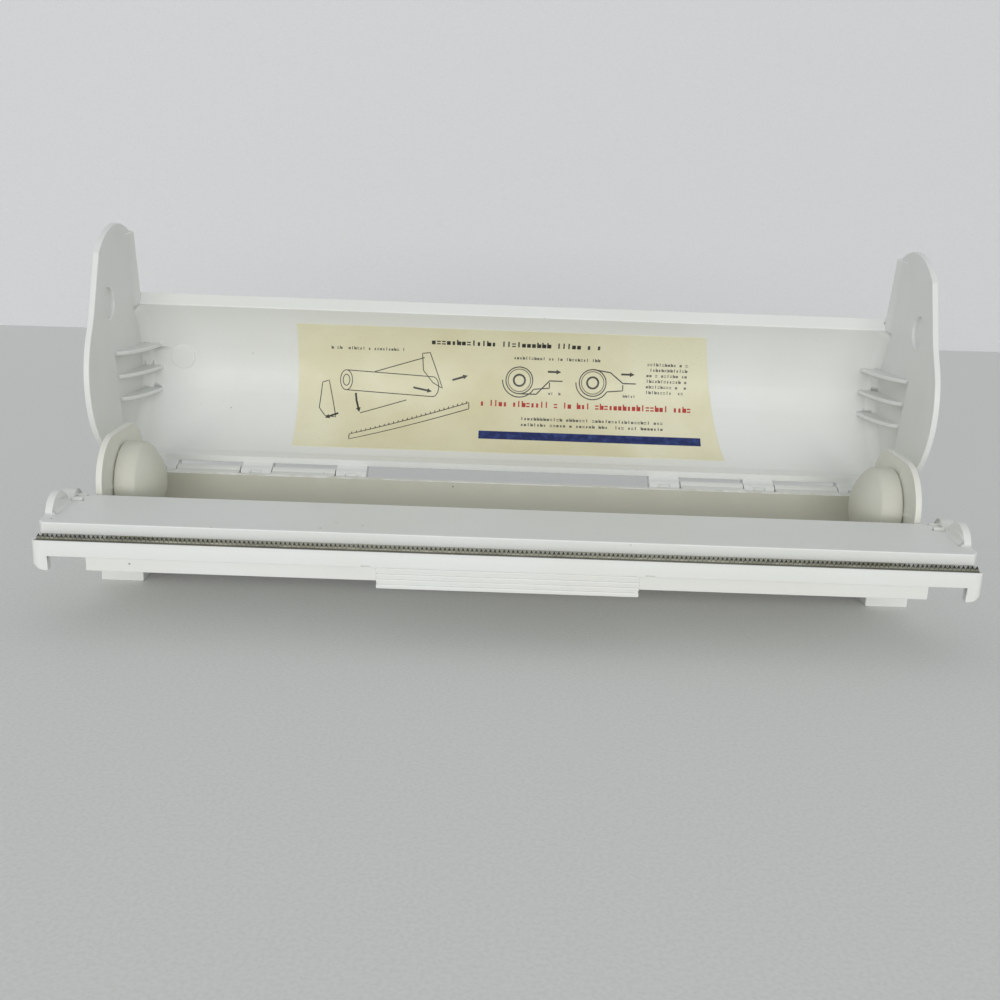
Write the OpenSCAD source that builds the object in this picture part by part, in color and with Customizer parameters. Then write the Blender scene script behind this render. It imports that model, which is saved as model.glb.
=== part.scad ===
/* [Roll] */
// Length of the roll that the tabs hold
roll_l = 305; // [240:1:460]
// Free play between each end of the roll and its tab
roll_play = 2.5; // [1:0.5:5]
// Radius of the hubs that enter the roll's core
hub_r = 16.2; // [12:0.1:20]
// Length of the straight part of a hub
hub_straight = 8; // [6:0.5:12]
// Height of the dome on a hub's inner end
hub_dome = 8; // [4:0.5:11]
// Radius of the stub axle that a hub turns on
axle_r = 5; // [3:0.5:8]
// Length of the stub axle
axle_l = 10; // [7:0.5:12]
// Radial running clearance of every pivot
pivot_play = 0.05; // [0.02:0.01:0.1]

/* [Tabs] */
// Width of a roll tab, front to back
tab_w = 55; // [40:1:60]
// Height of a tab's top above the roll axis
tab_top = 21.5; // [18:0.5:26]
// Depth of a tab's root below the roll axis
tab_root = 18.6; // [12:0.2:22]
// Corner radius at the top of a tab
tab_corner = 18; // [6:1:20]
// Thickness of a tab and of the tray's end walls
tab_t = 2.4; // [1.6:0.2:3]
// Slit between a tab and the end wall
tab_slit = 0.5; // [0.4:0.1:1]

/* [Tray] */
// Inside radius of the trough
trough_r = 37; // [34:0.5:44]
// Height of the trough's centre above the roll axis
trough_rise = 3; // [0:0.5:6]
// Wall thickness of the tray
wall = 2.4; // [1.6:0.2:3.2]
// Height of the trough's lowest point above the surface
ground_gap = 2.8; // [2:0.2:8]
// Depth of the back wall's top edge below the roll axis
back_drop = 5; // [3:0.5:9]
// Distance from the roll axis to the tray's front face
nose_reach = 65.2; // [60:0.2:72]
// Upward slope of the underside towards the front
nose_slope = 19.1; // [17:0.1:22]
// Depth of the ledge that carries the front rail, below the roll axis
ledge_drop = 10.4; // [10:0.2:12]
// How far the nose stops short of the tray's end
nose_inset = 8.4; // [5:0.2:12]
// Length of the ridged finger grip
grip_l = 93; // [40:1:140]
// Number of ridges on the finger grip
grip_ridges = 4; // [3:1:5]

/* [Feet] */
// Width of a skid foot
foot_w = 17; // [10:1:24]
// Length of a foot's flat sole behind the roll axis
sole_back = 28; // [24:1:32]
// Length of a foot's flat sole ahead of the roll axis
sole_front = 10.4; // [9:0.1:14]

/* [Front rail and blade] */
// How far the rail reaches past the tray's end wall
rail_overhang = 10.2; // [8:0.1:14]
// How far the rail's front stands ahead of the tray's front face
rail_proud = 2.2; // [2:0.1:3]
// Depth of the rail's top edge below the roll axis
rail_drop = 4.8; // [4:0.1:5.4]
// Depth of the end legs below the roll axis
leg_drop = 15.6; // [14:0.2:20]
// Thickness of the steel blade
blade_t = 0.6; // [0.4:0.1:0.8]
// Depth of the tooth tips below the roll axis
tooth_tip_drop = 2.7; // [2.2:0.1:3]
// Height of a tooth
tooth_h = 1.6; // [1:0.1:2]
// Spacing of the teeth
tooth_pitch = 1.6; // [1.4:0.1:3]

/* [Guard bar] */
// Gap between a tab's slit and the bar's socket
socket_gap = 1.05; // [0.3:0.05:2]
// How far the bar can be pressed, in degrees
bar_press = 8; // [4:0.5:9]
// Radius of the bar's stub pivots
bar_pivot_r = 2.5; // [2:0.1:2.6]
// Thickness of the bar's plate
bar_t = 2; // [1.6:0.1:2.4]
// Height of the bar's rear top edge above the roll axis
bar_top = 2.3; // [2:0.1:3]
// Fall of the bar's top from rear to front
bar_fall = 1.3; // [0:0.1:1.6]
// Depth of the bar's front skirt
bar_skirt = 4.4; // [4:0.1:5]
// Length of the upright ears at the bar's ends
ear_l = 17; // [10:0.5:18]
// Height of an ear
ear_h = 6.4; // [4:0.2:8]
// Thickness of an ear
ear_t = 2.7; // [2:0.1:3.4]

/* [Lid] */
// Inside radius of the lid's shell, about the roll axis when closed
lid_r = 38; // [36:0.5:42]
// Wall thickness of the lid's shell
lid_t = 2.2; // [1.6:0.2:3]
// Thickness of the lid's end caps
cap_t = 2.4; // [1.6:0.2:3]
// Gap between the rail's ends and the caps
cap_gap = 1.6; // [1.4:0.1:4]
// Angle of the lid's rim above the back, when closed
rim_a = 121; // [110:1:135]
// Width of the turned-up lip along the rim
rim_lip = 5.5; // [3:0.5:8]
// How far the lid stands open
open_a = 78; // [60:1:95]
// Radius of the round lower edge of a cap
cap_r = 36; // [34:0.2:38]
// Radius of the fillet between the shell and the caps
cap_fillet = 6; // [2:0.5:8]
// Reach of a cap's nose ahead of the roll axis
cap_nose = 59.2; // [54:0.2:62]
// Radius of the round end of a cap's nose
nose_r = 34.3; // [28:0.1:38]
// Rise of a cap's nose above the rim
nose_rise = 2; // [0.5:0.5:4]
// Distance of the latch behind the bar's pivot
latch_back = 2.6; // [0:0.1:4]
// Depth of the latch below the bar's pivot
latch_drop = 0.7; // [0:0.1:2]
// Radius of the latch dimple in each cap
dimple_r = 6.6; // [4:0.2:8]
// Depth of the latch dimple
dimple_d = 1.4; // [0.6:0.1:1.8]
// Width of the cap gussets where they meet the shell
gusset_w = 8.4; // [4:0.2:10]
// Place of the first gusset, measured from the roll axis
gusset_first = -8; // [-14:1:0]
// Spacing of the gussets
gusset_pitch = 10.4; // [6:0.1:12]
// Lean of the gussets, which lie level when the lid is open
gusset_lean = 14; // [8:1:18]
// Thickness of the cap gussets
gusset_t = 1.6; // [1:0.1:2.4]

/* [Hinge] */
// Distance of the hinge axis behind the roll axis
hinge_y = 44; // [43.5:0.5:48]
// Depth of the hinge axis below the roll axis
hinge_drop = 7; // [6:0.5:9]
// Radius of the hinge knuckles
knuckle_r = 3.8; // [3.2:0.1:4]
// Radius of the hinge pins
pin_r = 1.5; // [1:0.1:1.8]
// Half of the open gap at the middle of the hinge
hinge_gap = 62.4; // [30:0.2:80]
// Width of a lid finger
finger_w = 13.4; // [8:0.2:16]
// Side clearance between a finger and a knuckle
finger_play = 0.4; // [0.2:0.1:1]

/* [Label] */
// Length of the label
label_l = 196; // [100:1:240]
// Height of the label, measured round the shell
label_h = 62; // [30:1:70]
// Distance from the shell's lower edge to the label, round the shell
label_low = 13; // [4:1:20]
// How far the label's right edge slants
label_slant = 10; // [0:1:20]
// Thickness of the label
label_t = 0.3; // [0.2:0.1:0.4]

/* [Hidden] */
$fn = 64;
eps = 0.01;
far = 400;

// Places along the length, measured from the middle
tab_x = roll_l / 2 + roll_play;
end_x = tab_x + tab_t;
nose_x = end_x - nose_inset;
rail_x = end_x + rail_overhang;
cap_x = rail_x + cap_gap;
lid_x = cap_x + cap_t;

// Section of the tray, with the roll axis at the origin
tray_r = trough_r + wall;
axis_h = tray_r - trough_rise + ground_gap;
under_n = [-sin(nose_slope), -cos(nose_slope)];
// The underside starts just inside the trough's round, so that they cross at a slight angle
under_sink = 0.25;
function under_z(y, r) = trough_rise + (r - under_sink - under_n[0] * y) / under_n[1];

// Front rail and blade, from the front backwards
lip_t = 1.4;
slot_play = 0.1;
slot_back_t = 1;
rail_front = -nose_reach - rail_proud;
blade_front = rail_front + lip_t + slot_play;
blade_back = blade_front + blade_t;
rail_back = blade_back + slot_play + slot_back_t;
rail_floor_t = 1;
slot_floor = -ledge_drop + rail_floor_t;
slot_end = 1.6;
blade_x = rail_x - slot_end - slot_play;

// Guard bar and its sockets
bar_gap = 0.4;
socket_wall = 1.4;
socket_r = bar_pivot_r + pivot_play + socket_wall;
bar_pivot_y = -tab_w / 2 - tab_slit - socket_gap - socket_r;
bar_pivot_z = bar_top - bar_pivot_r;
bar_front = rail_back + bar_gap;
bar_rear = bar_pivot_y + bar_pivot_r;
function bar_z(y) = bar_top - bar_fall * (bar_rear - y) / (bar_rear - bar_front);
socket_x = end_x + 2;
cheek_x = end_x + 3.4;
cheek_t = 2.4;
cheek_out = cheek_x + cheek_t;
rim_x = cheek_out - 0.3;
cheek_front = bar_front + 6;
press_room = 2;
cheek_top = bar_z(cheek_front) - bar_t - (bar_pivot_y - cheek_front) * sin(bar_press) - press_room;
cheek_low = -ledge_drop - 3.6;
bracket_front = -trough_r - 2;
rail_side_t = 1.4;
bar_end_gap = 0.3;
bar_x = rail_x - rail_side_t - bar_end_gap;
bar_notch_x = end_x + 0.6;
bar_notch_y = bar_pivot_y - socket_r - 1.8;
ear_y = bar_notch_y - 0.4 - ear_l / 2;

// Lid, drawn closed and then swung open about the hinge
lid_out = lid_r + lid_t;
hinge_z = -hinge_drop;
shell_low_a = -asin((back_drop - 1.5) / lid_r);
rim = lid_r * [cos(rim_a), sin(rim_a)];
nose_top = rim[1] + nose_rise;
hinge_end = end_x + 2;
finger_pitch = (hinge_end - finger_w - hinge_gap) / 2;
latch = [bar_pivot_y + latch_back, bar_pivot_z - latch_drop];
label_mid_a = shell_low_a + (label_low + label_h / 2) / lid_r * 180 / PI;

// The part's origin is under the middle of its box, on the surface it stands on
open_axis_y = hinge_y - hinge_y * cos(open_a) + hinge_drop * sin(open_a);
mid_y = (rail_front + open_axis_y + lid_out) / 2;

module placed() {
    translate([0, -mid_y, axis_h]) children();
}

// Extrudes a section, drawn as front to back and up, from one place along the length to another
module along_x(x0, x1) {
    translate([x0, 0, 0]) rotate([90, 0, 90]) linear_extrude(x1 - x0) children();
}

module both_ends() {
    children();
    mirror([1, 0, 0]) children();
}

module on_side(side) {
    if (side > 0) children();
    else mirror([1, 0, 0]) children();
}

module opened() {
    translate([0, hinge_y, hinge_z]) rotate([-open_a, 0, 0]) translate([0, -hinge_y, -hinge_z]) children();
}

module sector(a0, a1, reach) {
    steps = 8;
    arc = [for (i = [0:steps]) let (a = a0 + (a1 - a0) * i / steps) reach * [cos(a), sin(a)]];
    polygon(concat([[0, 0]], arc));
}

module ring_sector(r0, r1, a0, a1) {
    intersection() {
        difference() {
            circle(r = r1);
            circle(r = r0);
        }
        sector(a0, a1, 2 * r1);
    }
}

// Round of the trough, which lies a little above the roll axis
module trough_2d(r) {
    translate([0, trough_rise]) circle(r = r);
}

// Nose of the tray: a front box below the ledge, closed by the underside's slope
module nose_2d(r, reach) {
    polygon([[0, trough_rise] + (r - under_sink) * under_n, [-reach, under_z(-reach, r)], [-reach, 0], [0, 0]]);
}

module tray_outline() {
    trough_2d(tray_r);
    nose_2d(tray_r, nose_reach);
}

module base_tray() {
    snap_w = 1.4 * bar_pivot_r;
    color("ivory") placed() difference() {
        union() {
            tray_body();
            finger_grip();
            both_ends() bar_bracket();
            both_ends() for (i = [0, 1]) base_knuckle(i);
        }
        both_ends() along_x(socket_x - eps, cheek_out) translate([bar_pivot_y, bar_pivot_z]) {
            circle(r = bar_pivot_r + pivot_play);
            translate([-snap_w / 2, 0]) square([snap_w, 2 * socket_r]);
        }
        both_ends() along_x(hinge_gap, hinge_end) translate([hinge_y, hinge_z]) circle(r = pin_r);
    }
}

module tray_body() {
    difference() {
        union() {
            along_x(-rim_x, rim_x) trough_2d(tray_r);
            along_x(-nose_x, nose_x) nose_2d(tray_r, nose_reach);
        }
        along_x(-tab_x, tab_x) trough_2d(trough_r);
        both_ends() along_x(end_x, rim_x + eps) end_hollow_2d();
        along_x(-nose_x + wall, nose_x - wall) nose_2d(trough_r, nose_reach - wall);
        translate([-far, -far, -ledge_drop]) cube([2 * far, far - trough_r / 2, far]);
        translate([-far, -far, -back_drop]) cube([2 * far, 2 * far, far]);
        both_ends() along_x(tab_x - eps, end_x + eps)
            translate([-tab_w / 2 - tab_slit, -tab_root - tab_slit]) square([tab_w + 2 * tab_slit, far]);
    }
}

// Space outside an end wall: only a low rim of the trough's wall is left round it
module end_hollow_2d() {
    rim_drop = 12.4;
    trough_2d(trough_r);
    translate([-far, -rim_drop]) square([2 * far, far]);
}

// Ridged pad under the rail that the fingers pull against
module finger_grip() {
    top_gap = 0.3;
    hang = 2.6;
    sink = 1;
    root = -nose_reach + 9;
    toe = -nose_reach + 6;
    groove = 0.7;
    top = -ledge_drop - top_gap;
    low = under_z(-nose_reach, tray_r) - hang;
    front = -nose_reach - rail_proud / 2;
    ridge = (top - low) / grip_ridges;
    difference() {
        along_x(-grip_l / 2, grip_l / 2) polygon([
            [front, top], [-nose_reach + eps, top], [-nose_reach + eps, under_z(-nose_reach, tray_r) + sink],
            [root, under_z(root, tray_r) + sink], [toe, low], [front, low]
        ]);
        for (i = [1:grip_ridges - 1]) translate([-far, front - groove, top - i * ridge - groove / 2])
            cube([2 * far, 2 * groove, groove]);
    }
}

// Bracket at each end of the tray: bar socket, side cheek and latch boss
module bar_bracket() {
    bracket_back = -tab_w / 2 - tab_slit;
    cheek_h = cheek_top - cheek_low;
    post_w = 1.4 * socket_r;
    latch_gap = 1.2;
    latch_play = 1.4;
    socket_rise = bar_pivot_r + 0.2;
    translate([tab_x, bracket_front, cheek_low])
        cube([cheek_out - tab_x, bracket_back - bracket_front, cheek_h]);
    translate([cheek_x, cheek_front, cheek_low]) cube([cheek_t, bracket_back - cheek_front, cheek_h]);
    along_x(socket_x, cheek_out) translate([bar_pivot_y, bar_pivot_z]) intersection() {
        circle(r = socket_r);
        translate([-socket_r, -socket_r]) square([2 * socket_r, socket_r + socket_rise]);
    }
    along_x(socket_x, cheek_out) translate([bar_pivot_y - post_w / 2, cheek_low])
        square([post_w, bar_pivot_z - bar_pivot_r - cheek_low]);
    along_x(cheek_out - eps, cap_x - latch_gap) translate(latch) circle(r = dimple_r - latch_play);
}

module base_knuckle(i) {
    x0 = hinge_gap + finger_w + finger_play + i * finger_pitch;
    x1 = hinge_gap + (i + 1) * finger_pitch - finger_play;
    sink = 0.4;
    root_y = trough_r - sink;
    web_h = 1.6 * knuckle_r;
    along_x(x0, x1) {
        translate([hinge_y, hinge_z]) circle(r = knuckle_r);
        translate([root_y, hinge_z - knuckle_r]) square([hinge_y - root_y, web_h]);
    }
}

// Rail along the front edge: lip, blade slot, end legs and side plates
module front_rail() {
    mark_gap = 2;
    mark = [3, 1, 0.6];
    color("white") placed() difference() {
        intersection() {
            union() {
                along_x(-rail_x, rail_x) rail_section();
                both_ends() rail_leg();
            }
            rail_plan();
        }
        along_x(slot_end - rail_x, rail_x - slot_end) translate([blade_front - slot_play, slot_floor])
            square([blade_t + 2 * slot_play, -slot_floor]);
        both_ends() translate([grip_l / 2 + mark_gap, rail_front - eps, -ledge_drop - eps]) cube(mark);
    }
}

module rail_section() {
    lip_round = 1;
    back_top = -rail_drop - 1.5;
    foot_back = -nose_reach + wall;
    polygon([
        [rail_front, -ledge_drop], [rail_front, -rail_drop - lip_round],
        [rail_front + lip_round / 2, -rail_drop], [blade_front, -rail_drop], [blade_front, back_top],
        [rail_back, back_top], [rail_back, slot_floor], [foot_back, slot_floor], [foot_back, -ledge_drop]
    ]);
}

// Plan outline of the rail with rounded front corners
module rail_plan() {
    corner = 3.5;
    translate([0, 0, -far / 2]) linear_extrude(far) {
        translate([-rail_x + corner, rail_front]) square([2 * (rail_x - corner), far]);
        translate([-rail_x, rail_front + corner]) square([2 * rail_x, far]);
        for (s = [-1, 1]) translate([s * (rail_x - corner), rail_front + corner]) circle(r = corner);
    }
}

// End of the rail: a rounded leg in front, a side plate, and a lug that seats on the tray's cheek
module rail_leg() {
    leg_w = 6;
    corner = 5;
    leg_top = -rail_drop - 2;
    lug_l = 4;
    lug_h = 5;
    leg_x = rail_x - leg_w;
    translate([0, rail_back, 0]) rotate([90, 0, 0]) linear_extrude(rail_back - rail_front) {
        translate([leg_x, -leg_drop + corner]) square([leg_w, leg_drop - corner + leg_top]);
        translate([leg_x, -leg_drop]) square([leg_w - corner, corner + eps]);
        intersection() {
            translate([rail_x - corner, -leg_drop + corner]) circle(r = corner);
            translate([leg_x, -leg_drop]) square([leg_w, corner + eps]);
        }
    }
    translate([rail_x - rail_side_t, rail_front, cheek_low])
        cube([rail_side_t, bar_notch_y - rail_front, -rail_drop - cheek_low]);
    translate([cheek_out, cheek_front + lug_l / 2, cheek_top - lug_h])
        cube([rail_x - cheek_out, lug_l, lug_h]);
}

module cutter_blade() {
    teeth = floor(2 * blade_x / tooth_pitch);
    x0 = -teeth * tooth_pitch / 2;
    tip = -tooth_tip_drop;
    root = tip - tooth_h;
    edge = [for (i = [0:teeth - 1], k = [0, 1]) [x0 + (i + k / 2) * tooth_pitch, k == 0 ? root : tip]];
    color("silver") placed() translate([0, blade_back, 0]) rotate([90, 0, 0]) linear_extrude(blade_t)
        polygon(concat([[x0, slot_floor]], edge, [[-x0, root], [-x0, slot_floor]]));
}

module guard_bar() {
    stub_root = 8;
    stub_gap = 0.6;
    corner = [2, 2.5];
    color("whitesmoke") placed() {
        difference() {
            along_x(-bar_x, bar_x) bar_section();
            both_ends() translate([bar_notch_x, bar_notch_y, -far / 2]) cube(far);
            both_ends() translate([bar_x, bar_front, -far / 2]) linear_extrude(far)
                polygon([[-corner[0], 0], [-corner[0], -1], [1, -1], [1, corner[1]], [0, corner[1]]]);
        }
        both_ends() along_x(bar_notch_x - stub_root, cheek_out - stub_gap)
            translate([bar_pivot_y, bar_pivot_z]) circle(r = bar_pivot_r);
        both_ends() bar_ear();
    }
}

module bar_section() {
    skirt_t = 1.8;
    lean = 0.6;
    front_top = bar_z(bar_front);
    skirt_low = front_top - bar_skirt;
    skirt_back = bar_front + lean + skirt_t;
    polygon([
        [bar_front, front_top], [bar_front + lean, skirt_low], [skirt_back, skirt_low],
        [skirt_back, bar_z(skirt_back) - bar_t], [bar_rear, bar_top - bar_t], [bar_rear, bar_top]
    ]);
}

// Half-round ear that keeps the sheet on the bar, with a ridge at its foot
module bar_ear() {
    ridge = 1.6;
    ridge_l = 0.9 * ear_l;
    foot = bar_z(ear_y);
    sink = bar_t / 2;
    round_r = (ear_l * ear_l / 4 + ear_h * ear_h) / (2 * ear_h);
    along_x(bar_x - ear_t, bar_x) translate([ear_y, foot]) intersection() {
        translate([0, ear_h - round_r]) circle(r = round_r);
        translate([-ear_l, -sink]) square([2 * ear_l, ear_h + 2 * sink]);
    }
    translate([bar_x - ear_t, ear_y + ridge_l / 2, foot]) rotate([90, 0, 0]) linear_extrude(ridge_l)
        polygon([[eps, ridge], [-ridge, 0], [-ridge, -sink], [eps, -sink]]);
}

// Leaf spring under each end of the bar: a foot on the bracket and an arm up to the bar
module bar_spring(side) {
    leaf_w = 3;
    leaf_t = 0.4;
    foot_l = 8;
    tip_gap = 0.1;
    bend = [bracket_front + 1.2, cheek_top + leaf_t / 2];
    tip_y = bend[0] - 5;
    tip = [tip_y, bar_z(tip_y) - bar_t - tip_gap - leaf_t];
    arm = tip - bend;
    color("silver") placed() on_side(side) along_x(tab_x, tab_x + leaf_w) {
        translate([bend[0], cheek_top]) square([foot_l, leaf_t]);
        translate(bend) circle(r = leaf_t / 2);
        translate(bend) rotate(atan2(arm[1], arm[0])) translate([0, -leaf_t / 2]) square([norm(arm), leaf_t]);
        translate(tip) circle(r = leaf_t);
    }
}

module lid() {
    color("white") placed() difference() {
        opened() lid_closed();
        both_ends() for (i = [0:2]) finger_slot(i);
    }
}

module lid_closed() {
    bore_over = 1;
    difference() {
        union() {
            along_x(-lid_x, lid_x) shell_2d();
            both_ends() along_x(cap_x, lid_x) cap_2d();
            both_ends() corner_fillet();
            both_ends() tip_return();
            both_ends() for (i = [0:2]) gusset(gusset_first + i * gusset_pitch);
            both_ends() for (i = [0:2]) lid_finger(i);
            ejector_mark();
        }
        both_ends() along_x(cap_x - eps, cap_x + dimple_d) translate(latch) circle(r = dimple_r);
        both_ends() along_x(hinge_gap - bore_over, hinge_end + bore_over)
            translate([hinge_y, hinge_z]) circle(r = pin_r + pivot_play);
    }
}

// Section of the shell, with a thicker lower edge and the rim's turned-up lip
module shell_2d() {
    flange_t = 0.8;
    flange_a = 8;
    lip_turn = 25;
    ring_sector(lid_r, lid_out, shell_low_a, rim_a);
    ring_sector(lid_r - flange_t, lid_out, shell_low_a, shell_low_a + flange_a);
    translate(rim) rotate(rim_a + lip_turn) translate([0, -lid_t]) square([rim_lip, lid_t]);
}

// Outline of an end cap when closed: round below, with a round-ended nose over the bar's end
module cap_2d() {
    rim_band = 6;
    nose_mid = 14.1;
    nose_back = 40;
    nose_cut = -cap_nose - 1;
    chin = [-53, -5.5];
    throat_a = 214;
    throat_out = 1.6;
    jaw_a = 236;
    ring_sector(cap_r - rim_band, lid_out, shell_low_a, rim_a);
    circle(r = cap_r);
    difference() {
        polygon([
            [0, 0], lid_out / lid_r * rim, [nose_cut, nose_top], [nose_cut, chin[1]], chin,
            cap_r * [cos(throat_a), sin(throat_a)] - [throat_out, 0], cap_r * [cos(jaw_a), sin(jaw_a)]
        ]);
        difference() {
            translate([-far - nose_back, -far]) square([far, 2 * far]);
            translate([nose_r - cap_nose, nose_mid]) circle(r = nose_r);
        }
    }
}

// Rounded corner inside, where the shell runs into a cap. It is sunk into both walls and
// cut a little over its radius, so that it crosses their faces at a slight angle
module corner_fillet() {
    sink = 1;
    over = 0.15;
    end_a = 0.4;
    turn = rim_a - shell_low_a - 2 * end_a;
    rotate([90, 0, 90]) rotate([0, 0, shell_low_a + end_a]) rotate_extrude(angle = turn)
        translate([lid_r - cap_fillet, cap_x - cap_fillet]) difference() {
            square(cap_fillet + sink);
            circle(r = cap_fillet + over);
        }
}

// Narrow return along the top edge of a cap's nose, thinning out over the cap
module tip_return() {
    return_w = 2.2;
    return_t = 1.4;
    taper = 7;
    tip_gap = 7.2;
    translate([cap_x, rim[0], nose_top]) rotate([90, 0, 0]) linear_extrude(cap_nose + rim[0] - tip_gap)
        polygon([[eps, 0], [-return_w, 0], [-return_w, -return_t], [0, -taper], [eps, -taper]]);
}

// Fin between a cap and the shell, with a round free edge
module gusset(y) {
    low = -2;
    steps = 10;
    reach = lid_r + lid_t / 2;
    high = sqrt(reach * reach - pow(y * cos(gusset_lean), 2)) - y * sin(gusset_lean);
    edge = [for (i = [0:steps]) let (a = 90 * i / steps)
        [-gusset_w * sin(a), low + (high - low) * (1 - cos(a))]];
    translate([cap_x + eps, y, 0]) rotate([-gusset_lean, 0, 0]) translate([0, gusset_t / 2, 0])
        rotate([90, 0, 0]) linear_extrude(gusset_t) polygon(concat(edge, [[0, high]]));
}

// Hinge finger: a knuckle, and a web from it to the shell's lower edge
module lid_finger(i) {
    web_low = 1;
    web_high = 4;
    skin = 0.2;
    web_top_a = 29;
    web_low_a = 228;
    x0 = hinge_gap + i * finger_pitch;
    along_x(x0, x0 + finger_w) translate([hinge_y, hinge_z]) {
        circle(r = knuckle_r);
        polygon([
            [lid_r + skin - hinge_y, web_low - hinge_z], [lid_out - skin - hinge_y, web_high - hinge_z],
            knuckle_r * [cos(web_top_a), sin(web_top_a)], knuckle_r * [cos(web_low_a), sin(web_low_a)]
        ]);
    }
}

// Small window in the front of a finger, just above the back wall
module finger_slot(i) {
    slot = [5, 3, 1.3];
    slot_rise = 1.4;
    x0 = hinge_gap + i * finger_pitch + (finger_w - slot[0]) / 2;
    translate([x0, hinge_y - knuckle_r - slot[1] / 3, hinge_z + slot_rise]) cube(slot);
}

// Round moulding mark inside the shell, near the left end
module ejector_mark() {
    mark_a = 80;
    mark_r = 5.5;
    mark_x = 3.6 - tab_x;
    proud = 0.5;
    seat = sqrt(lid_r * lid_r - mark_r * mark_r) - proud;
    rotate([mark_a - 90, 0, 0]) translate([mark_x, 0, seat]) cylinder(r = mark_r, h = lid_t / 2 + proud);
}

// Sheet stuck inside the shell, with a slanting right edge
module instruction_label() {
    glue_t = 0.05;
    label_r = lid_r - glue_t;
    half_a = label_h / lid_r * 90 / PI;
    color("lemonchiffon") placed() opened() intersection() {
        along_x(-label_l / 2, label_l / 2)
            ring_sector(label_r - label_t, label_r, label_mid_a - half_a, label_mid_a + half_a);
        rotate([label_mid_a - 90, 0, 0]) linear_extrude(2 * lid_r) polygon([
            [-label_l, -label_h], [label_l / 2 - label_slant * 1.5, -label_h],
            [label_l / 2 + label_slant / 2, label_h], [-label_l, label_h]
        ]);
    }
}

// Upright flexing plate with the stub axle of a hub
module roll_tab(side) {
    color("ivory") placed() on_side(side) {
        along_x(tab_x, end_x) {
            translate([-tab_w / 2, -tab_root]) square([tab_w, tab_root + tab_top - tab_corner]);
            translate([-tab_w / 2 + tab_corner, 0]) square([tab_w - 2 * tab_corner, tab_top]);
            for (s = [-1, 1])
                translate([s * (tab_w / 2 - tab_corner), tab_top - tab_corner]) circle(r = tab_corner);
        }
        along_x(tab_x - axle_l, tab_x + eps) circle(r = axle_r);
    }
}

module roll_hub(side) {
    hub_gap = 0.3;
    dome_r = (hub_r * hub_r + hub_dome * hub_dome) / (2 * hub_dome);
    color("ivory") placed() on_side(side) translate([tab_x - hub_gap, 0, 0]) rotate([0, -90, 0])
        difference() {
            union() {
                cylinder(r = hub_r, h = hub_straight);
                intersection() {
                    translate([0, 0, hub_straight + hub_dome - dome_r]) sphere(r = dome_r);
                    translate([0, 0, hub_straight - eps]) cylinder(r = hub_r, h = 2 * hub_dome);
                }
            }
            translate([0, 0, -eps]) cylinder(r = axle_r + pivot_play, h = axle_l + eps);
        }
}

module hinge_pin(side) {
    pin_inset = 0.5;
    color("silver") placed() on_side(side) along_x(hinge_gap + pin_inset, hinge_end - pin_inset)
        translate([hinge_y, hinge_z]) circle(r = pin_r);
}

// Skid foot: a block with a flat sole, under the trough's end
module skid_foot(side) {
    color("white") placed() on_side(side) along_x(cheek_out - foot_w, cheek_out) difference() {
        translate([-sole_front, -axis_h]) square([sole_front + sole_back, axis_h - trough_r / 2]);
        tray_outline();
    }
}

base_tray();
front_rail();
cutter_blade();
guard_bar();
bar_spring(-1);  // left_bar_spring
bar_spring(1);  // right_bar_spring
lid();
instruction_label();
roll_tab(-1);  // left_roll_tab
roll_tab(1);  // right_roll_tab
roll_hub(-1);  // left_roll_hub
roll_hub(1);  // right_roll_hub
hinge_pin(-1);  // left_hinge_pin
hinge_pin(1);  // right_hinge_pin
skid_foot(-1);  // left_skid_foot
skid_foot(1);  // right_skid_foot
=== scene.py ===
import math

import bmesh
import bpy
from mathutils import Matrix, Vector
from mathutils.bvhtree import BVHTree


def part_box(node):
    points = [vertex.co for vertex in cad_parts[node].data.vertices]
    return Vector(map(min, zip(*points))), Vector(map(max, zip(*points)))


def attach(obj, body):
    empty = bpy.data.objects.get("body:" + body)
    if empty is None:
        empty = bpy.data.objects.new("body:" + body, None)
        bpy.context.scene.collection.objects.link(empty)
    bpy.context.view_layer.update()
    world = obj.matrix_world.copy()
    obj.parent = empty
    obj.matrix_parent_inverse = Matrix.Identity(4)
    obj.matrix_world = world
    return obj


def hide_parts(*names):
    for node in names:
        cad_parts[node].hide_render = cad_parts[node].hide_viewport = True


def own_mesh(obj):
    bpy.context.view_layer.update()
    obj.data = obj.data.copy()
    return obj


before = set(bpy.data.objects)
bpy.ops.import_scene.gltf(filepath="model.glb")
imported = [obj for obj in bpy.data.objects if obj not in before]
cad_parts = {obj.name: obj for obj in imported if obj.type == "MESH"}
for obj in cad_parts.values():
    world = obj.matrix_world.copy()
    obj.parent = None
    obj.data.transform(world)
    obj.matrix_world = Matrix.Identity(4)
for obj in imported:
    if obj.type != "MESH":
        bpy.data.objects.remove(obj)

scene = bpy.context.scene
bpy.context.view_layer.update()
mm = 0.001
print("frame loaded with", len(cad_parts), "solids")


# camera at the photo's angle, angles in degrees
cameraSetup = dict(lens=41.54, sensor=36, place=(-0.0058, -0.45825, 0.1606), pitch=15.38, yaw=0.31, roll=2.1)


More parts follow.
